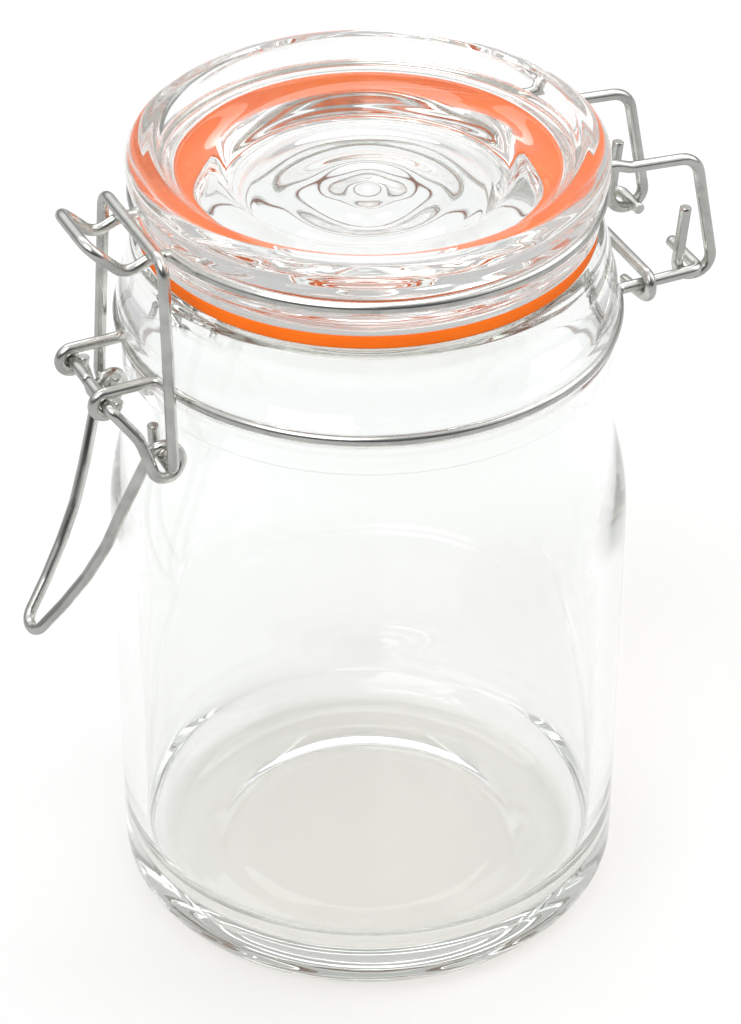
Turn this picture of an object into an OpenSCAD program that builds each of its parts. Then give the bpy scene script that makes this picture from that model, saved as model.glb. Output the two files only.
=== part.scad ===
// Small clip-top glass jar: a blown jar, a pressed lid with a rubber ring,
// and six bent wires that make the hinge and the over-centre latch.
// Origin: on the jar's axis, in the plane it stands on. The hinge is at +X,
// the latch at -X, and every pivot runs along Y.

/* [Jar] */
// Outer radius at the heel
heel_r = 27.5; // [27:0.1:27.8]
// Largest outer radius, where the shoulder starts
body_r = 27.85; // [27.6:0.05:28.2]
// Height at which the shoulder starts
shoulder_z = 48; // [44:0.5:50]
// Outer radius of the waist under the neck flange
waist_r = 25; // [24.8:0.05:25.1]
// Outer radius of the neck flange
flange_r = 26.3; // [26.2:0.05:26.5]
// Height of the jar's rim
jar_h = 81.45; // [81.3:0.05:81.6]
// Inner radius of the mouth
mouth_r = 19.9; // [19.5:0.1:20.2]
// Thickness of the side wall
wall = 2.4; // [2:0.1:3]
// Thickness of the glass over the base ring
floor_t = 3.6; // [3:0.1:4.5]
// Radius of the heel outside
heel_bend = 4; // [3.5:0.1:4.5]
// Radius of the heel inside
inner_bend = 6; // [5:0.1:6.5]

/* [Lid] */
// Height of the lid's top edge
lid_top_z = 91.7; // [91.4:0.1:92]
// Outer radius of the lid's head
lid_r = 24.9; // [24.8:0.05:25.1]
// Radius of the plug that holds the seal
plug_r = 18; // [17.5:0.1:18]
// Radius of the dished centre
dish_r = 13.2; // [12.5:0.1:13.5]

/* [Seal] */
// Outer radius of the rubber ring
seal_r = 23.74; // [23.2:0.02:23.8]
// Thickness of the rubber ring
seal_t = 1.4; // [1.2:0.05:1.4]

/* [Wires] */
// Radius of every wire
wire_r = 0.625; // [0.6:0.005:0.63]
// Half the distance between the lid wire's latch arms
loop_h = 4.3; // [4.2:0.05:4.4]
// Half the distance between the neck wire's eyes
eye_h = 4.6; // [4.5:0.05:4.7]
// Half the distance between the lid wire's hinge hooks
hook_h = 7.6; // [7.5:0.05:7.65]
// Half the distance between the neck wire's hinge arms
arm_h = 9.05; // [9:0.05:9.2]
// Half the distance between the lever's bends at its pivot
pivot_h = 6.3; // [6.25:0.05:6.4]
// Half the distance between the bail's legs at the coils
bail_h = 10.1; // [10.1:0.05:10.3]
// Half the distance between the bail's legs at its bar
bail_top_h = 7.8; // [7.6:0.05:8]

/* [Hidden] */

// How far a straight runs into a bend, and how much fatter the bend is, so that they join
lap = 0.05;
bend_r = wire_r + 0.006;
// Bend where a ring turns out into an arm
fillet_r = 1.2;

// Heights of the two ring grooves, and the radii of the wires in them
neck_z = 72.3;
neck_ring_r = 26.08;
lid_wire_z = 86.6;
lid_ring_r = 24.17;
groove_r = wire_r + 0.03;

// Eyes on the neck wire, and the lever's pivot through them
eye_r = 2 * wire_r + 0.06;
pivot = [-31.5, neck_z - eye_r];
// Hinge pins
pin = [34.5, neck_z];
pin_tip_right = -2.6;
pin_tip_left = 4.4;
// Centre of the lever's coils, where the bail hooks in
coil = [-26.5, 64.6];
coil_r = 1.7;
coil_exit_r = 1.4;
coil_bends = 5;
coil_out_h = 8.6;
coil_in_h = 7.15;
// The lever's arms are bowed: x, distance from the middle, and z of the bow
arm_mid = [-29.1, 7.6, 67.7];

seal_z = jar_h + 0.05;
lid_seat_z = seal_z + seal_t + 0.03;

// ---------- helpers ----------

function arc(c, r, a0, a1, n) =
    [for (i = [0 : n]) let (a = a0 + (a1 - a0) * i / n) c + r * [cos(a), sin(a)]];

// A smooth step from p to q that leaves and arrives upright; soft fades its curvature in and out
function ease(p, q, n, soft = 0) =
    [for (i = [0 : n])
        let (t = i / n, round = (1 - cos(180 * t)) / 2, slow = pow(t, 3) * (10 - 15 * t + 6 * t * t))
        [p[0] + (q[0] - p[0]) * (round + soft * (slow - round)), p[1] + (q[1] - p[1]) * t]];

// The groove that a ring wire sits in, cut into a wall of radius wall_r
function groove(ring_r, z, wall_r) =
    let (a = acos((wall_r - ring_r) / groove_r))
    arc([ring_r, z], groove_r, -a, a - 360, 8);

function reverse(p) = [for (i = [len(p) - 1 : -1 : 0]) p[i]];
function unit(v) = v / norm(v);
function turn(u, v) = acos(max(-1, min(1, u * v)));

module turned(profile) rotate_extrude($fn = 96) polygon(profile);

// A straight piece of wire
module rod(a, b) {
    d = b - a;
    translate(a)
        rotate([0, acos(d[2] / norm(d)), atan2(d[1], d[0])])
            cylinder(h = norm(d), r = wire_r, $fn = 24);
}

// A round bend of radius r at p1, on the way from p0 to p2
module bend(p0, p1, p2, r) {
    u = unit(p1 - p0);
    v = unit(p2 - p1);
    a = turn(u, v);
    n = unit(v - (u * v) * u);
    c = p1 - u * r * tan(a / 2) + n * r;
    w = cross(-n, u);
    multmatrix([[-n[0], u[0], w[0], c[0]], [-n[1], u[1], w[1], c[1]],
            [-n[2], u[2], w[2], c[2]], [0, 0, 0, 1]])
        rotate_extrude(angle = a, $fn = 48)
            translate([r, 0])
                circle(r = bend_r, $fn = 24);
}

// One wire along the points p, with a bend of radius r[i] at inner point i
module wire(p, r) {
    last = len(p) - 1;
    for (i = [0 : last - 1]) {
        u = unit(p[i + 1] - p[i]);
        from = i == 0 ? 0 : r[i] * tan(turn(unit(p[i] - p[i - 1]), u) / 2) - lap;
        to = i == last - 1 ? 0 : r[i + 1] * tan(turn(u, unit(p[i + 2] - p[i + 1])) / 2) - lap;
        rod(p[i] + u * from, p[i + 1] - u * to);
    }
    for (i = [1 : last - 1]) bend(p[i - 1], p[i], p[i + 1], r[i]);
}

// Where the bend between a ring and an arm at distance h has its centre
function fillet_x(ring_r, h) = sqrt(pow(ring_r + fillet_r, 2) - pow(h + fillet_r, 2));
function fillet_a(ring_r, h) = atan2(h + fillet_r, fillet_x(ring_r, h));

module ring_fillet(ring_r, h) {
    a = fillet_a(ring_r, h);
    translate([fillet_x(ring_r, h), h + fillet_r, 0])
        rotate([0, 0, 180 + a])
            rotate_extrude(angle = 90 - a, $fn = 48)
                translate([fillet_r, 0])
                    circle(r = bend_r, $fn = 24);
}

// Half a ring on the +Y side, turned out towards its hinge arm and its latch arm
module half_ring(ring_r, hinge_h, latch_h) {
    over = lap / ring_r * 180 / PI;
    start = fillet_a(ring_r, hinge_h) - over;
    end = 180 - fillet_a(ring_r, latch_h) + over;
    rotate([0, 0, start])
        rotate_extrude(angle = end - start, $fn = 96)
            translate([ring_r, 0])
                circle(r = wire_r, $fn = 24);
    ring_fillet(ring_r, hinge_h);
    rotate([0, 180, 0])
        ring_fillet(ring_r, latch_h);
}

// Puts a half ring at height z, on the side s of the jar (1 is +Y, -1 is -Y)
module ring_side(s, z) translate([0, 0, z]) rotate([s > 0 ? 0 : 180, 0, 0]) children();

// A point of the plane y = h
function at(xz, h) = [xz[0], h, xz[1]];

// ---------- glass ----------

function jar_outside() = concat(
    [[0, 1], [15, 0.8], [18.2, 0]],
    arc([heel_r - heel_bend, heel_bend], heel_bend, -90, 0, 8),
    ease([body_r, shoulder_z - 2], [waist_r, 66], 12, 0.8),
    arc([waist_r + 0.4, 68.3], 0.9, -116, 0, 4),
    [[flange_r, 71.5]],
    groove(neck_ring_r, neck_z, flange_r),
    [[flange_r, 74.4], [flange_r - 0.15, 75.2], [25.6, 76.9], [25.35, 77.6], [25.1, 79.4]],
    arc([23.7, 80.05], 1.4, 10, 90, 5));

function jar_inside() = concat(
    arc([mouth_r + 0.5, jar_h - 0.5], 0.5, 90, 180, 4),
    ease([mouth_r, 77], [waist_r - 2.7, 69.5], 6),
    ease([waist_r - 2.7, 67], [body_r - wall - 0.1, shoulder_z - 1], 12, 0.8),
    arc([heel_r - wall - inner_bend, floor_t + inner_bend], inner_bend, 0, -90, 7),
    [[16.5, 3.35], [14, 3.25], [0, 3.9]]);

module glass_jar() {
    color("honeydew", 0.4)
        turned(concat(jar_outside(), jar_inside()));
}

function lid_profile() = concat(
    [[0, jar_h + 0.05], [plug_r - 0.4, jar_h - 0.55], [plug_r, jar_h - 0.05], [plug_r, lid_seat_z]],
    arc([23.3, lid_seat_z + 0.7], 0.7, -90, 0, 4),
    [[24.1, 85.7]],
    groove(lid_ring_r, lid_wire_z, 24.3),
    [[24.6, 87.9], [lid_r, 89.2]],
    arc([lid_r - 1.7, lid_top_z - 1.7], 1.7, 0, 100, 7),
    [[21.4, 91], [20.3, 89.9], [18.5, 89], [15, 88.5], [dish_r + 0.4, 87.3]],
    [for (i = [0 : 8]) let (t = i / 8) [(dish_r - 0.7) * (1 - t), 86.3 + 0.6 * sin(90 * t)]]);

module glass_lid() {
    color("honeydew", 0.4)
        turned(lid_profile());
}

module seal_ring() {
    round_r = 0.25;
    inner = plug_r + 0.1;
    color("orangered")
        turned(concat(
            arc([seal_r - round_r, seal_z + round_r], round_r, -90, 0, 3),
            arc([seal_r - round_r, seal_z + seal_t - round_r], round_r, 0, 90, 3),
            arc([inner + round_r, seal_z + seal_t - round_r], round_r, 90, 180, 3),
            arc([inner + round_r, seal_z + round_r], round_r, 180, 270, 3)));
}

// ---------- wires ----------

// The bar that the bail clips over, on two kinked arms
module lid_loop() {
    start = [-fillet_x(lid_ring_r, loop_h) + lap, lid_wire_z];
    side = [start, [-26.1, lid_wire_z], [-28.7, 85.5], [-32.5, 89.3]];
    points = concat([for (p = side) at(p, loop_h)], [for (p = reverse(side)) at(p, -loop_h)]);
    wire(points, [0, 2, 2, 1.8, 1.8, 2, 2, 0]);
}

// A hook that hangs on a hinge pin
module lid_hook(s) {
    route = [[fillet_x(lid_ring_r, hook_h) - lap, lid_wire_z], [24.6, lid_wire_z], [26.4, 85.9],
        [34.3, 85.2], [36.9, pin[1] - 1.35], [32.3, pin[1] - 1.35], [33.3, 79.4]];
    wire([for (p = route) at(p, s * hook_h)], [0, 2, 2, 2.5, 1.9, 1.9, 0]);
}

module lid_wire() {
    color("silver") {
        lid_loop();
        for (s = [-1, 1]) {
            ring_side(s, lid_wire_z) half_ring(lid_ring_r, hook_h, loop_h);
            lid_hook(s);
        }
    }
}

// One half of the neck wire, with its hinge pin and its eye
module neck_wire(s, pin_tip) {
    ring_side(s, neck_z) half_ring(neck_ring_r, arm_h, eye_h);
    wire([[fillet_x(neck_ring_r, arm_h) - lap, s * arm_h, neck_z],
            [pin[0], s * arm_h, neck_z], [pin[0], pin_tip, neck_z]], [0, 1, 0]);
    rod([-fillet_x(neck_ring_r, eye_h) + lap, s * eye_h, neck_z], [pivot[0] - lap, s * eye_h, neck_z]);
    translate([pivot[0], s * eye_h, pivot[1]])
        rotate([90, 0, 0])
            rotate([0, 0, 90])
                rotate_extrude(angle = 270, $fn = 48)
                    translate([eye_r, 0])
                        circle(r = bend_r, $fn = 24);
}

module neck_wire_right() {
    color("silver")
        neck_wire(-1, pin_tip_right);
}

module neck_wire_left() {
    color("silver")
        neck_wire(1, pin_tip_left);
}

// Ties the two hinge arms together: over each arm, round it and back under it
module hinge_tie_wire() {
    tie_x = 27.9;
    tie_y = arm_h + eye_r;
    top = neck_z + eye_r;
    low = neck_z - eye_r;
    color("silver")
        wire([[27.2, -5.5, low], [tie_x, -tie_y, low], [tie_x, -tie_y, top],
                [tie_x, tie_y, top], [tie_x, tie_y, low], [27.2, 5.5, low]],
            [0, 1.15, 1.15, 1.15, 1.15, 0]);
}

// The coil's centreline as a polygon of straights, closing in a little and moving inboard.
// Straight i runs in direction coil_a(i) and passes the centre at distance coil_d(i).
bow = [arm_mid[0], arm_mid[2]];
arm_a = atan2(coil[1] - bow[1], coil[0] - bow[0]) - asin(coil_r / norm(coil - bow));
knee = [-30.5, 57.5];
exit_a = atan2(coil[1] - knee[1], coil[0] - knee[0]) + asin(coil_exit_r / norm(coil - knee)) + 180;
coil_step = (exit_a + 360 - arm_a) % 360 / coil_bends;
function coil_a(i) = arm_a + i * coil_step;
function coil_d(i) = coil_r + (coil_exit_r - coil_r) * pow(i / coil_bends, 2);
function coil_point(i) =
    let (a = coil_a(i), s = (coil_d(i + 1) - coil_d(i) * cos(coil_step)) / sin(coil_step))
    coil + coil_d(i) * [sin(a), -cos(a)] + s * [cos(a), sin(a)];
function coil_h(i) = coil_out_h + (coil_in_h - coil_out_h) * i / (coil_bends - 1);

// Thumb loop below the coil: x, distance from the middle, and z
thumb = [[-30.5, 5.1, 57.5], [-32, 4.4, 53.4], [-34, 3.6, 49.6], [-36.3, 2.6, 46.1], [-39.2, 1.35, 42.3]];

module lever_wire() {
    end_gap = 0.08;
    half = concat(
        [at(pivot, end_gap), at(pivot, pivot_h), arm_mid],
        [for (i = [0 : coil_bends - 1]) at(coil_point(i), coil_h(i))],
        thumb);
    half_bends = concat([0, 0.8, 5], [for (i = [0 : coil_bends - 1]) 0.85 * coil_d(i + 1)],
        [8, 8, 8, 8, 1.6]);
    color("silver")
        wire(concat(half, [for (p = reverse(half)) [p[0], -p[1], p[2]]]),
            concat(half_bends, reverse(half_bends)));
}

module bail_wire() {
    stub_h = 5;
    top = [-26.05, 87.9];
    half = [at(coil + [-0.1, 2.7], stub_h), at(coil, stub_h), at(coil, bail_h), at(top, bail_top_h)];
    color("silver")
        wire(concat(half, [for (p = reverse(half)) [p[0], -p[1], p[2]]]),
            [0, 0.95, 0.95, 1.8, 1.8, 0.95, 0.95, 0]);
}

glass_jar();
glass_lid();
seal_ring();
lid_wire();
neck_wire_right();
neck_wire_left();
hinge_tie_wire();
lever_wire();
bail_wire();
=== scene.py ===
import math

import bmesh
import bpy
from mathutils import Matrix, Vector, noise


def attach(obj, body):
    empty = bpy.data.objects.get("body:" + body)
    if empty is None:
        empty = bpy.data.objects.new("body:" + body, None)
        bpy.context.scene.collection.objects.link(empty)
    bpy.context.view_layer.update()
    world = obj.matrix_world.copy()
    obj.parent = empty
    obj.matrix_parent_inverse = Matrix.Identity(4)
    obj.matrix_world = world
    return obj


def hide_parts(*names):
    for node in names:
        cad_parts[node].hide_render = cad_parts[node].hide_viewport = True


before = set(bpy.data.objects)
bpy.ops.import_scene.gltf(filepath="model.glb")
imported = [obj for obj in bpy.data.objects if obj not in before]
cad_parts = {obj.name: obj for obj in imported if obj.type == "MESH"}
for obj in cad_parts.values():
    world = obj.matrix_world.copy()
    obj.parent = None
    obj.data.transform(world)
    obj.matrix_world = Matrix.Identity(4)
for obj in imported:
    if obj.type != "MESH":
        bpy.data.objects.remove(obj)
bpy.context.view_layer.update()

# ---------- driving dimensions, in millimetres, as in the CAD model ----------

MM = 0.001

WIRE_R = 0.625

# Jar
HEEL_R = 27.5
BODY_R = 27.85
SHOULDER_Z = 48.0
WAIST_R = 25.0
WAIST_Z = 65.0
FLANGE_R = 26.3
JAR_H = 81.45
MOUTH_R = 19.9
WALL = 2.4
FLOOR_T = 3.6
HEEL_BEND = 4.0
INNER_BEND = 6.0

# Lid
LID_TOP_Z = 91.7
LID_R = 24.9
PLUG_R = 18.0
DISH_R = 13.2

# Seal, with a hair of air under it and over it
SEAL_R = 23.74
SEAL_T = 1.4
SEAL_Z = JAR_H + 0.05
LID_SEAT_Z = SEAL_Z + SEAL_T + 0.03

# Ring grooves and the wires in them
FILLET_R = 1.2
NECK_Z = 72.3
NECK_RING_R = 26.08
LID_WIRE_Z = 86.6
LID_RING_R = 24.17
GROOVE_R = WIRE_R + 0.03

# Distances of the wires' planes from the middle
LOOP_H = 4.3
EYE_H = 4.6
HOOK_H = 7.6
ARM_H = 9.05
PIVOT_H = 6.3
COIL_OUT_H = 8.6
COIL_IN_H = 7.15
BAIL_TOP_H = 7.8
BAIL_H = 10.1
STUB_H = 5.0

# Pivots, as (x, z)
EYE_R = 2 * WIRE_R + 0.06
PIVOT = (-31.5, NECK_Z - EYE_R)
PIN = (34.5, NECK_Z)
COIL = (-26.5, 64.6)
COIL_R = 1.7
COIL_EXIT_R = 1.4
COIL_BENDS = 5
ARM_MID = (-29.1, 7.6, 67.7)

# ---------- fineness of the meshes ----------

LATHE_STEPS = 224
RING_STEPS = 120
FILLET_STEPS = 8
WIRE_SIDES = 20
WIRE_SPACING = 0.45

# Each straight gets an extra point this close to its ends, which keeps its shading flat
HOLD = 0.12

# Bent wire is never quite straight: how far it wanders from its path, and how fast
WANDER = 0.03
WANDER_SCALE = 0.11

# The chamfer of a wire's cut ends, and how its length maps to its texture
CHAMFER = 0.09
UV_PER_MM = 0.01

# ---------- light ----------

# Light runs a long way inside the glass wall before it comes out again
LIGHT_BOUNCES = 128
TRANSPARENT_BOUNCES = 32
WORLD_STRENGTH = 0.72

# The side on which the room around the light tent is dark
FRONT = (-0.42, -0.91, 0)

# Most values of a noise texture lie between these
NOISE_LOW, NOISE_HIGH = 0.3, 0.7

# The wires' unevenness is drawn from a fixed seed, so that every run gives the same wires
noise.seed_set(1)


# ---------- small helpers ----------

def arc(cx, cz, radius, start, end, steps):
    """Points on a circle in the profile plane, from start to end degrees."""
    points = []
    for i in range(steps + 1):
        angle = math.radians(start + (end - start) * i / steps)
        points.append((cx + radius * math.cos(angle), cz + radius * math.sin(angle)))
    return points


def ease(p, q, steps, soft=0.0):
    """A smooth step from p to q that leaves and arrives upright.

    soft fades its curvature in and out."""
    points = []
    for i in range(steps + 1):
        t = i / steps
        blend = (1 - math.cos(math.pi * t)) / 2
        slow = t ** 3 * (10 - 15 * t + 6 * t * t)
        blend += soft * (slow - blend)
        points.append((p[0] + (q[0] - p[0]) * blend, p[1] + (q[1] - p[1]) * t))
    return points


def between(p, q, steps):
    """The points that cut the straight from p to q into steps, without its ends."""
    return [(p[0] + (q[0] - p[0]) * i / steps, p[1] + (q[1] - p[1]) * i / steps)
            for i in range(1, steps)]


def rounded(corners, steps=7):
    """A polyline through 2-D or 3-D corners (point, bend radius) with arcs at the corners."""
    points = [Vector(p) for p, _ in corners]
    path = [points[0]]
    for i in range(1, len(points) - 1):
        before, here, after = points[i - 1], points[i], points[i + 1]
        radius = corners[i][1]
        u = (here - before).normalized()
        v = (after - here).normalized()
        angle = math.acos(max(-1.0, min(1.0, u.dot(v))))
        if radius <= 0 or angle < 1e-4:
            path.append(here)
            continue
        reach = radius * math.tan(angle / 2)
        start = here - u * reach
        inward = (v - u * u.dot(v)).normalized()
        centre = start + inward * radius
        path.append(start - u * HOLD)
        count = max(2, math.ceil(steps * angle / (math.pi / 2)))
        for k in range(count + 1):
            a = angle * k / count
            path.append(centre - inward * (radius * math.cos(a)) + u * (radius * math.sin(a)))
        path.append(here + v * (reach + HOLD))
    path.append(points[-1])
    return path


def new_object(name, bm):
    mesh = bpy.data.meshes.new(name)
    bm.to_mesh(mesh)
    bm.free()
    obj = bpy.data.objects.new(name, mesh)
    bpy.context.scene.collection.objects.link(obj)
    for polygon in mesh.polygons:
        polygon.use_smooth = True
    return obj


def lathe(name, profile, closed=False):
    """Turns a profile of (radius, height) in millimetres round the Z axis."""
    bm = bmesh.new()
    rings = []
    for radius, height in profile:
        if radius < 1e-6:
            rings.append([bm.verts.new((0, 0, height * MM))])
            continue
        ring = []
        for i in range(LATHE_STEPS):
            a = 2 * math.pi * i / LATHE_STEPS
            x, y = radius * math.cos(a), radius * math.sin(a)
            ring.append(bm.verts.new((x * MM, y * MM, height * MM)))
        rings.append(ring)
    pairs = list(zip(rings, rings[1:]))
    if closed:
        pairs.append((rings[-1], rings[0]))
    for low, high in pairs:
        for i in range(LATHE_STEPS):
            j = (i + 1) % LATHE_STEPS
            if len(low) == 1:
                bm.faces.new((low[0], high[j], high[i]))
            elif len(high) == 1:
                bm.faces.new((low[i], low[j], high[0]))
            else:
                bm.faces.new((low[i], low[j], high[j], high[i]))
    bmesh.ops.recalc_face_normals(bm, faces=bm.faces)
    return new_object(name, bm)


def resampled(path):
    """The same path with its long straights cut into pieces of about WIRE_SPACING."""
    points = [path[0]]
    for p, q in zip(path, path[1:]):
        length = (q - p).length
        if length < 1e-6:
            continue
        count = max(1, math.ceil(length / WIRE_SPACING))
        for k in range(1, count + 1):
            points.append(p.lerp(q, k / count))
    return points


def wire(name, path, seed):
    """A round wire along path, in millimetres, a little uneven as bent wire is, with cut ends."""
    points = []
    for p in resampled(path):
        wander = noise.noise_vector(p * WANDER_SCALE + Vector((seed, 0, 0)))
        points.append(p + wander * WANDER)
    last = len(points) - 1
    tangents = [(points[min(i + 1, last)] - points[max(i - 1, 0)]).normalized()
                for i in range(last + 1)]
    along = [0.0]
    for p, q in zip(points, points[1:]):
        along.append(along[-1] + (q - p).length)

    bm = bmesh.new()
    uv = bm.loops.layers.uv.new("wire")

    def ring_at(centre, tangent, across, radius):
        up = tangent.cross(across)
        ring = []
        for k in range(WIRE_SIDES):
            a = 2 * math.pi * k / WIRE_SIDES
            out = across * math.cos(a) + up * math.sin(a)
            ring.append(bm.verts.new((centre + out * radius) * MM))
        return ring

    side = tangents[0].orthogonal().normalized()
    first_cap = ring_at(points[0], tangents[0], side, WIRE_R - CHAMFER)
    rings = []
    for i, centre in enumerate(points):
        side = (side - tangents[i] * side.dot(tangents[i])).normalized()
        if i == 0:
            centre = centre + tangents[0] * CHAMFER
        if i == last:
            centre = centre - tangents[last] * CHAMFER
        rings.append(ring_at(centre, tangents[i], side, WIRE_R))
    last_cap = ring_at(points[last], tangents[last], side, WIRE_R - CHAMFER)

    chain = [first_cap] + rings + [last_cap]
    places = [0.0] + along + [along[-1]]
    for n, (low, high) in enumerate(zip(chain, chain[1:])):
        for k in range(WIRE_SIDES):
            m = (k + 1) % WIRE_SIDES
            face = bm.faces.new((low[k], low[m], high[m], high[k]))
            turns = (k, k + 1, k + 1, k)
            ends = (n, n, n + 1, n + 1)
            for loop, turn, end in zip(face.loops, turns, ends):
                loop[uv].uv = (places[end] * UV_PER_MM, turn / WIRE_SIDES)
    caps = [bm.faces.new(list(reversed(first_cap))), bm.faces.new(last_cap)]
    bmesh.ops.recalc_face_normals(bm, faces=bm.faces)
    for cap in caps:
        for edge in cap.edges:
            edge.smooth = False
    return new_object(name, bm)


def in_plane(route, h):
    """Moves corners (x, z, bend) into the plane y = h."""
    return [(Vector((x, h, z)), bend) for x, z, bend in route]


def mirrored(path):
    return [Vector((p.x, -p.y, p.z)) for p in path]


def mirrored_corners(corners):
    """The corners of a symmetric wire's other half, in the order that goes on from this one."""
    return [((x, -y, z), bend) for (x, y, z), bend in reversed(corners)]


def fillet_x(ring_r, h):
    """Where the fillet between a ring and its arm at y = h has its centre."""
    return math.sqrt((ring_r + FILLET_R) ** 2 - (h + FILLET_R) ** 2)


def fillet_angle(ring_r, h):
    """The direction of that centre from the jar's axis, where fillet and ring meet."""
    return math.degrees(math.atan2(h + FILLET_R, fillet_x(ring_r, h)))


def fillet(ring_r, h):
    """The fillet's (x, y) points, from the arm to the ring."""
    end = 180 + fillet_angle(ring_r, h)
    return arc(fillet_x(ring_r, h), h + FILLET_R, FILLET_R, 270, end, FILLET_STEPS)


def half_ring(ring_r, hinge_h, latch_h, z, side):
    """The wire's path from its hinge arm round one side of the jar to its latch arm."""
    start = fillet_angle(ring_r, hinge_h)
    end = 180 - fillet_angle(ring_r, latch_h)
    flat = fillet(ring_r, hinge_h)
    flat += arc(0, 0, ring_r, start, end, RING_STEPS)[1:-1]
    flat += [(-x, y) for x, y in reversed(fillet(ring_r, latch_h))]
    return [Vector((x, side * y, z)) for x, y in flat]


# ---------- glass and rubber ----------

def groove(ring_r, z, wall_r):
    """The groove of a ring wire in a wall of radius wall_r, from its lower edge up."""
    half = math.degrees(math.acos((wall_r - ring_r) / GROOVE_R))
    return arc(ring_r, z, GROOVE_R, -half, half - 360, 14)


def jar_profile():
    foot = rounded([((0, 1.0), 0), ((15.0, 0.8), 10), ((18.2, 0), 10),
                    ((HEEL_R - HEEL_BEND, 0), 0)])
    heel = arc(HEEL_R - HEEL_BEND, HEEL_BEND, HEEL_BEND, -90, 0, 16)
    body_top = (BODY_R, SHOULDER_Z - 2)
    body = between((HEEL_R, HEEL_BEND), body_top, 14)
    shoulder = ease(body_top, (WAIST_R, WAIST_Z + 1), 36, 0.8)
    under_flange = rounded([((WAIST_R, WAIST_Z + 1.2), 0), ((WAIST_R, 67.6), 0.5),
                            ((FLANGE_R, 68.1), 0.9), ((FLANGE_R, 71.2), 0)])
    neck = rounded([((FLANGE_R, 73.2), 0), ((FLANGE_R, 74.8), 1.5), ((25.5, 77.2), 3),
                    ((25.1, 79.6), 1.0), ((24.6, 81.0), 0.9), ((23.6, JAR_H), 0.8),
                    ((22.5, JAR_H), 0)])
    mouth = rounded([((21.5, JAR_H), 0), ((MOUTH_R, JAR_H), 0.5), ((MOUTH_R, 79.0), 0)])
    waist_in_r = WAIST_R - 2.7
    body_in_r = BODY_R - WALL - 0.1
    inner_top = (body_in_r, SHOULDER_Z - 1)
    throat = ease((MOUTH_R, 77), (waist_in_r, 69.5), 16)
    inner_shoulder = ease((waist_in_r, 67), inner_top, 36, 0.8)
    inner_body = between(inner_top, (body_in_r - 0.25, 10), 12)
    inner_heel = arc(HEEL_R - WALL - INNER_BEND, FLOOR_T + INNER_BEND, INNER_BEND, 0, -90, 16)
    floor = [(16.5, 3.35), (14.0, 3.25), (10, 3.5), (5, 3.8), (0, 3.9)]
    outside = list(foot) + heel[1:] + body + shoulder + list(under_flange)
    outside += groove(NECK_RING_R, NECK_Z, FLANGE_R) + list(neck)
    inside = list(mouth) + throat + inner_shoulder + inner_body + inner_heel + floor
    return [(p[0], p[1]) for p in outside + inside]


def lid_profile():
    brim_r, brim_bend = 23.3, 0.7
    under = rounded([((0, 81.5), 0), ((8, 81.4), 20), ((PLUG_R - 0.4, 80.9), 0.4),
                     ((PLUG_R, 81.5), 0.3), ((PLUG_R, LID_SEAT_Z), 0.15),
                     ((brim_r, LID_SEAT_Z), 0)])
    brim = arc(brim_r, LID_SEAT_Z + brim_bend, brim_bend, -90, 0, 6)
    wall = rounded([((24.05, 84.2), 0), ((24.25, 85.9), 0)])
    head = rounded([((24.35, 87.3), 0), ((24.7, 88.0), 0.6), ((LID_R, 89.2), 2),
                    ((LID_R, LID_TOP_Z), 1.6), ((21.8, LID_TOP_Z - 0.3), 1.4),
                    ((19.6, 89.1), 1.6), ((15.2, 88.6), 2.2), ((DISH_R, 86.3), 2.2),
                    ((9, 86.6), 12), ((0, 86.9), 0)])
    points = list(under) + brim[1:] + list(wall) + groove(LID_RING_R, LID_WIRE_Z, 24.3)
    return [(max(0.0, p[0]), p[1]) for p in points + list(head)]


def seal_profile():
    edge = 0.25
    inner = PLUG_R + 0.1
    low, high = SEAL_Z, SEAL_Z + SEAL_T
    corners = [((21, low), 0), ((SEAL_R, low), edge), ((SEAL_R, high), edge),
               ((inner, high), edge), ((inner, low), edge), ((20.9, low), 0)]
    return [(p[0], p[1]) for p in rounded(corners, steps=5)]


# ---------- wires ----------

def lid_wire_path():
    hook_z = PIN[1] - 1.35
    hook = in_plane([(33.3, 79.4, 0), (32.3, hook_z, 1.9), (36.9, hook_z, 1.9),
                     (34.3, 85.2, 2.5), (26.4, 85.9, 2), (24.6, LID_WIRE_Z, 2),
                     (fillet_x(LID_RING_R, HOOK_H), LID_WIRE_Z, 0)], HOOK_H)
    loop = [(-fillet_x(LID_RING_R, LOOP_H), LID_WIRE_Z, 0), (-26.1, LID_WIRE_Z, 2),
            (-28.7, 85.5, 2), (-32.5, 89.3, 1.8)]
    front = rounded(in_plane(loop, LOOP_H) + in_plane(list(reversed(loop)), -LOOP_H))
    side = rounded(hook) + half_ring(LID_RING_R, HOOK_H, LOOP_H, LID_WIRE_Z, 1)
    return side + front + list(reversed(mirrored(side)))


def neck_wire_path(side, pin_tip):
    pin = [(Vector((PIN[0], pin_tip, NECK_Z)), 0), (Vector((PIN[0], side * ARM_H, NECK_Z)), 1),
           (Vector((fillet_x(NECK_RING_R, ARM_H), side * ARM_H, NECK_Z)), 0)]
    ring = half_ring(NECK_RING_R, ARM_H, EYE_H, NECK_Z, side)
    eye = [Vector((x, side * EYE_H, z)) for x, z in arc(*PIVOT, EYE_R, 90, 360, 24)]
    return rounded(pin) + ring + eye


def tie_wire_path():
    x, y = 27.9, ARM_H + EYE_R
    top, low = NECK_Z + EYE_R, NECK_Z - EYE_R
    tail = (27.2, 5.5, low)
    bend = 1.15
    half = [((x, y, top), bend), ((x, y, low), bend), (tail, 0)]
    return rounded(mirrored_corners(half) + half)


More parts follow.
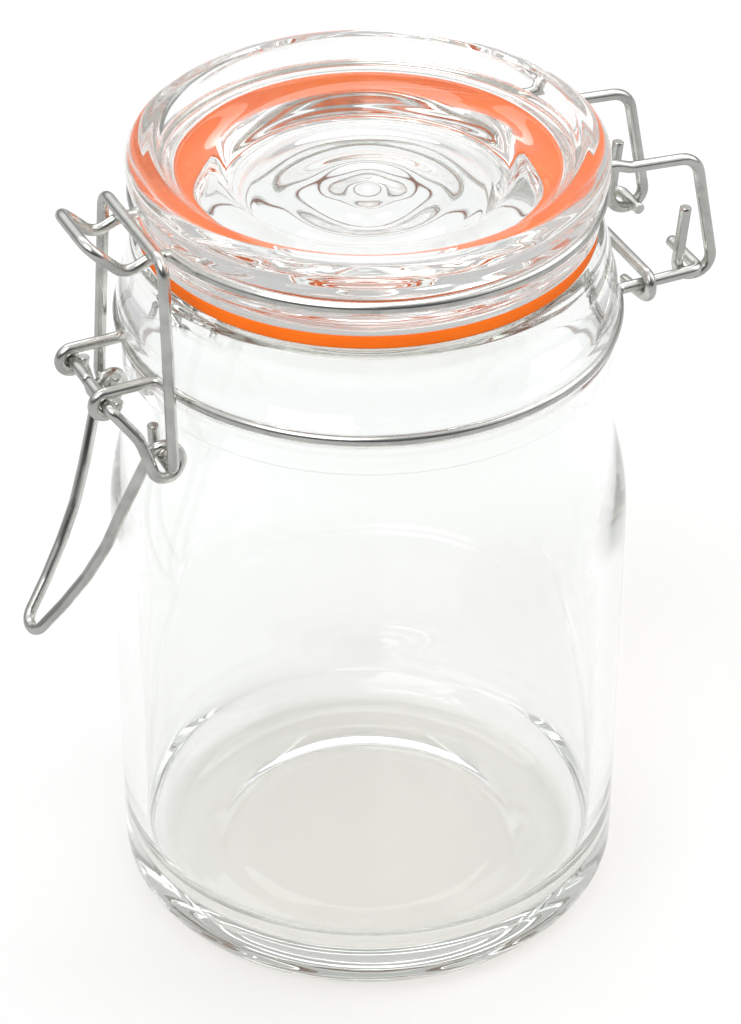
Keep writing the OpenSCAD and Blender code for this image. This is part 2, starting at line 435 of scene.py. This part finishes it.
def coil_corners():
    """The lever's coil as a polygon of straights that closes in a little and moves inboard."""
    knee = (-30.5, 57.5)
    tightness = 0.85
    to_coil = (COIL[0] - ARM_MID[0], COIL[1] - ARM_MID[2])
    to_knee = (COIL[0] - knee[0], COIL[1] - knee[1])
    arm_a = math.atan2(to_coil[1], to_coil[0]) - math.asin(COIL_R / math.hypot(*to_coil))
    knee_a = math.atan2(to_knee[1], to_knee[0]) + math.asin(COIL_EXIT_R / math.hypot(*to_knee))
    step = (knee_a + math.pi - arm_a) % (2 * math.pi) / COIL_BENDS

    def reach(i):
        return COIL_R + (COIL_EXIT_R - COIL_R) * (i / COIL_BENDS) ** 2

    corners = []
    for i in range(COIL_BENDS):
        a = arm_a + i * step
        slide = (reach(i + 1) - reach(i) * math.cos(step)) / math.sin(step)
        x = COIL[0] + reach(i) * math.sin(a) + slide * math.cos(a)
        z = COIL[1] - reach(i) * math.cos(a) + slide * math.sin(a)
        y = COIL_OUT_H + (COIL_IN_H - COIL_OUT_H) * i / (COIL_BENDS - 1)
        corners.append(((x, y, z), tightness * reach(i + 1)))
    return corners


def lever_wire_path():
    end_gap = 0.08
    arm = [((PIVOT[0], end_gap, PIVOT[1]), 0), ((PIVOT[0], PIVOT_H, PIVOT[1]), 0.8), (ARM_MID, 5)]
    thumb = [((-30.5, 5.1, 57.5), 8), ((-32, 4.4, 53.4), 8), ((-34, 3.6, 49.6), 8),
             ((-36.3, 2.6, 46.1), 8), ((-39.2, 1.35, 42.3), 1.6)]
    half = arm + coil_corners() + thumb
    return rounded(half + mirrored_corners(half))


def bail_wire_path():
    stub = (COIL[0] - 0.1, STUB_H, COIL[1] + 2.7)
    top = (-26.05, BAIL_TOP_H, 87.9)
    foot_bend = 0.95
    half = [(stub, 0), ((COIL[0], STUB_H, COIL[1]), foot_bend),
            ((COIL[0], BAIL_H, COIL[1]), foot_bend), (top, 1.8)]
    return rounded(half + mirrored_corners(half))


# ---------- materials ----------

def grey(value):
    return (value, value, value, 1)


def preset(node, values):
    """Sets the node's inputs that are the same all over."""
    for name, value in values.items():
        node.inputs[name].default_value = value


def new_material(name):
    material = bpy.data.materials.new(name)
    material.use_nodes = True
    nodes = material.node_tree.nodes
    return material, nodes, material.node_tree.links, nodes["Principled BSDF"]


def object_coords(nodes):
    return nodes.new("ShaderNodeTexCoord").outputs["Object"]


def noise_node(nodes, links, coords, scale, detail):
    node = nodes.new("ShaderNodeTexNoise")
    preset(node, {"Scale": scale, "Detail": detail})
    links.new(coords, node.inputs["Vector"])
    return node.outputs["Fac"]


def ramp_node(nodes, links, value, stops):
    node = nodes.new("ShaderNodeValToRGB")
    ramp = node.color_ramp
    ramp.elements[0].position, ramp.elements[0].color = stops[0]
    ramp.elements[1].position, ramp.elements[1].color = stops[-1]
    for position, colour in stops[1:-1]:
        ramp.elements.new(position).color = colour
    links.new(value, node.inputs["Fac"])
    return node.outputs["Color"]


def map_range(nodes, links, value, low, high):
    node = nodes.new("ShaderNodeMapRange")
    preset(node, {"From Min": NOISE_LOW, "From Max": NOISE_HIGH, "To Min": low, "To Max": high})
    links.new(value, node.inputs["Value"])
    return node.outputs["Result"]


def bump_node(nodes, links, height, strength, distance, normal=None):
    node = nodes.new("ShaderNodeBump")
    preset(node, {"Strength": strength, "Distance": distance})
    links.new(height, node.inputs["Height"])
    if normal is not None:
        links.new(normal, node.inputs["Normal"])
    return node.outputs["Normal"]


def glass_material(name, wave_scale, wave_depth, ring_scale, ring_depth, density):
    """Clear soda-lime glass with the slow waves and faint turned rings of a moulded surface.

    Shadow rays pass straight through, so that the softboxes light what is behind it."""
    material, nodes, links, shader = new_material(name)
    coords = object_coords(nodes)
    preset(shader, {"Base Color": (0.985, 0.995, 0.99, 1), "Roughness": 0.0, "IOR": 1.51,
                    "Transmission Weight": 1.0})
    waves = noise_node(nodes, links, coords, wave_scale, 0.6)
    rings = nodes.new("ShaderNodeTexWave")
    rings.wave_type = "RINGS"
    rings.rings_direction = "Z"
    preset(rings, {"Scale": ring_scale, "Distortion": 2.0, "Detail": 0.5, "Detail Scale": 0.6})
    links.new(coords, rings.inputs["Vector"])
    slow = bump_node(nodes, links, waves, 1.0, wave_depth)
    turned = bump_node(nodes, links, rings.outputs["Fac"], 1.0, ring_depth, slow)
    links.new(turned, shader.inputs["Normal"])
    absorb = nodes.new("ShaderNodeVolumeAbsorption")
    preset(absorb, {"Color": (0.80, 0.81, 0.785, 1), "Density": density})
    output = nodes["Material Output"]
    links.new(absorb.outputs["Volume"], output.inputs["Volume"])
    path = nodes.new("ShaderNodeLightPath")
    clear = nodes.new("ShaderNodeBsdfTransparent")
    preset(clear, {"Color": (0.883, 0.864, 0.84, 1)})
    either = nodes.new("ShaderNodeMixShader")
    links.new(path.outputs["Is Shadow Ray"], either.inputs["Fac"])
    links.new(shader.outputs["BSDF"], either.inputs[1])
    links.new(clear.outputs["BSDF"], either.inputs[2])
    links.new(either.outputs["Shader"], output.inputs["Surface"])
    return material


def rubber_material():
    """Orange moulded rubber, a little uneven in colour and finely stippled."""
    material, nodes, links, shader = new_material("orange_rubber")
    coords = object_coords(nodes)
    cloud = noise_node(nodes, links, coords, 160, 4)
    colour = ramp_node(nodes, links, cloud, [(NOISE_LOW, (0.93, 0.15, 0.006, 1)),
                                             (NOISE_HIGH, (1.0, 0.19, 0.012, 1))])
    links.new(colour, shader.inputs["Base Color"])
    links.new(map_range(nodes, links, cloud, 0.5, 0.65), shader.inputs["Roughness"])
    preset(shader, {"Specular IOR Level": 0.12})
    stipple = noise_node(nodes, links, coords, 3500, 2)
    links.new(bump_node(nodes, links, stipple, 0.35, 0.00003), shader.inputs["Normal"])
    return material


def steel_material(name, tint):
    """Bright zinc-plated wire: drawn lines along it, dull patches in the plating."""
    material, nodes, links, shader = new_material(name)
    coords = object_coords(nodes)
    uv = nodes.new("ShaderNodeUVMap")
    uv.uv_map = "wire"
    stretch = nodes.new("ShaderNodeMapping")
    preset(stretch, {"Scale": (6.0, 22.0, 1.0)})
    links.new(uv.outputs["UV"], stretch.inputs["Vector"])
    lines = noise_node(nodes, links, stretch.outputs["Vector"], 1.0, 4)
    patches = noise_node(nodes, links, coords, 420, 5)
    dull = tuple(c * 0.7 for c in tint)
    colour = ramp_node(nodes, links, patches, [(0.25, dull + (1,)), (0.7, tint + (1,))])
    preset(shader, {"Metallic": 1.0})
    links.new(colour, shader.inputs["Base Color"])
    links.new(map_range(nodes, links, patches, 0.30, 0.16), shader.inputs["Roughness"])
    drawn = bump_node(nodes, links, lines, 0.25, 0.00002)
    pitted = bump_node(nodes, links, patches, 0.2, 0.00003, drawn)
    links.new(pitted, shader.inputs["Normal"])
    return material


def darker_in_reflections(nodes, links, colour, reflected):
    """The colour, but the reflected one where a rough surface mirrors it.

    That is a painted reflection: the dim room around the light tent, and on the floor a darker grey
    that paints shade on the wires' undersides."""
    path = nodes.new("ShaderNodeLightPath")
    glossy = nodes.new("ShaderNodeMixRGB")
    links.new(path.outputs["Is Glossy Ray"], glossy.inputs["Fac"])
    links.new(colour, glossy.inputs["Color1"])
    if isinstance(reflected, tuple):
        glossy.inputs["Color2"].default_value = reflected
    else:
        links.new(reflected, glossy.inputs["Color2"])
    through = nodes.new("ShaderNodeMixRGB")
    links.new(path.outputs["Is Singular Ray"], through.inputs["Fac"])
    links.new(glossy.outputs["Color"], through.inputs["Color1"])
    links.new(colour, through.inputs["Color2"])
    return through.outputs["Color"]


def floor_material():
    material, nodes, links, shader = new_material("pale_floor")
    cloud = noise_node(nodes, links, object_coords(nodes), 9, 2)
    colour = ramp_node(nodes, links, cloud, [(NOISE_LOW, grey(0.90)), (NOISE_HIGH, grey(0.92))])
    # Painted reflection: rough reflections see the floor as a darker grey, which paints shade on
    # the wires' undersides
    seen = darker_in_reflections(nodes, links, colour, grey(0.5))
    links.new(seen, shader.inputs["Base Color"])
    preset(shader, {"Roughness": 0.7})
    return material


# ---------- stage ----------

def add_floor():
    """A round pale floor, a hair below the jar's foot."""
    radius, drop = 6.0, 0.0001
    bm = bmesh.new()
    bmesh.ops.create_circle(bm, cap_ends=True, segments=96, radius=radius)
    floor = new_object("floor", bm)
    floor.location.z = -drop
    floor.data.materials.append(floor_material())


def add_world():
    """A light tent, with a dim room around it that only the wires and the rubber mirror."""
    world = bpy.data.worlds.new("studio")
    world.use_nodes = True
    bpy.context.scene.world = world
    nodes, links = world.node_tree.nodes, world.node_tree.links
    coords = nodes.new("ShaderNodeTexCoord").outputs["Generated"]
    split = nodes.new("ShaderNodeSeparateXYZ")
    links.new(coords, split.inputs["Vector"])
    height = split.outputs["Z"]
    tent = ramp_node(nodes, links, height,
                     [(0.0, grey(0.95)), (0.25, grey(0.85)), (1.0, grey(1.0))])
    room = ramp_node(nodes, links, height, [(0.0, grey(0.5)), (0.15, grey(0.25)), (0.35, grey(0.8)),
                                            (0.5, grey(1.2)), (1.0, grey(1.3))])
    towards_front = nodes.new("ShaderNodeVectorMath")
    towards_front.operation = "DOT_PRODUCT"
    towards_front.inputs[1].default_value = FRONT
    links.new(coords, towards_front.inputs[0])
    front = ramp_node(nodes, links, towards_front.outputs["Value"],
                      [(0.0, grey(1.0)), (0.4, grey(0.9)), (0.7, grey(0.18)), (1.0, grey(0.12))])
    shaded = nodes.new("ShaderNodeMixRGB")
    shaded.blend_type = "MULTIPLY"
    preset(shaded, {"Fac": 1.0})
    links.new(room, shaded.inputs["Color1"])
    links.new(front, shaded.inputs["Color2"])
    seen = darker_in_reflections(nodes, links, tent, shaded.outputs["Color"])
    background = nodes["Background"]
    links.new(seen, background.inputs["Color"])
    preset(background, {"Strength": WORLD_STRENGTH})


def add_softbox(name, place, size, power):
    """An area light that looks at the middle of the jar."""
    light = bpy.data.lights.new(name, "AREA")
    light.shape = "RECTANGLE"
    light.size, light.size_y = size
    light.energy = power
    lamp = bpy.data.objects.new(name, light)
    bpy.context.scene.collection.objects.link(lamp)
    middle = Vector((0, 0, 0.045))
    lamp.location = place
    lamp.rotation_euler = (Vector(place) - middle).to_track_quat("Z", "Y").to_euler()


def add_camera():
    """The camera at the photograph's angle: latch side to the left, from above."""
    azimuth, elevation = math.radians(-25.07), math.radians(35.0)
    distance = 0.4513
    target = Vector((0, 0, 0.04536))
    back = Vector((math.sin(azimuth) * math.cos(elevation),
                   -math.cos(azimuth) * math.cos(elevation), math.sin(elevation)))
    camera = bpy.data.cameras.new("camera")
    camera.sensor_width = 36.0
    camera.lens = 146.6
    camera.shift_x = 0.0023
    camera.clip_start = 0.01
    holder = bpy.data.objects.new("camera", camera)
    bpy.context.scene.collection.objects.link(holder)
    holder.location = target + back * distance
    holder.rotation_euler = back.to_track_quat("Z", "Y").to_euler()
    bpy.context.scene.camera = holder


# ---------- assembly ----------

def place(piece, node, body, slot, material):
    """Lets a piece stand for a CAD node, on that node's body."""
    piece.data.materials.append(material)
    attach(piece, body)
    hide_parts(node)


jar_glass = glass_material("jar_glass", 45, 0.00016, 75.0, 0.000006, 30.0)
lid_glass = glass_material("lid_glass", 45, 0.0012, 62.0, 0.00014, 12.0)
rubber = rubber_material()
zinc = steel_material("zinc_wire", (0.77, 0.775, 0.74))

place(lathe("jar", jar_profile()), "glass_jar", "jar", "jar_glass", jar_glass)
place(lathe("lid", lid_profile()), "glass_lid", "lid", "lid_glass", lid_glass)
place(lathe("seal", seal_profile(), closed=True), "seal_ring", "lid", "seal_rubber", rubber)

place(wire("lid_clamp", lid_wire_path(), 1), "lid_wire", "lid", "lid_steel", zinc)
place(wire("neck_right", neck_wire_path(-1, -2.6), 2), "neck_wire_right", "jar", "neck_steel", zinc)
place(wire("neck_left", neck_wire_path(1, 4.4), 3), "neck_wire_left", "jar", "neck_steel", zinc)
place(wire("hinge_tie", tie_wire_path(), 4), "hinge_tie_wire", "jar", "neck_steel", zinc)
place(wire("lever", lever_wire_path(), 5), "lever_wire", "lever", "lever_steel", zinc)
place(wire("bail", bail_wire_path(), 6), "bail_wire", "bail", "lever_steel", zinc)

add_floor()
add_world()
add_softbox("key", (-0.7, -0.5, 1.1), (0.9, 0.9), 6.9)
add_softbox("fill", (0.9, -0.2, 0.7), (0.7, 1.1), 2.6)
add_softbox("rim", (0.2, 0.7, 1.2), (1.4, 0.5), 4.6)
add_camera()

scene = bpy.context.scene
scene.cycles.max_bounces = LIGHT_BOUNCES
scene.cycles.glossy_bounces = LIGHT_BOUNCES
scene.cycles.transmission_bounces = LIGHT_BOUNCES
scene.cycles.transparent_max_bounces = TRANSPARENT_BOUNCES
scene.view_settings.view_transform = "Standard"
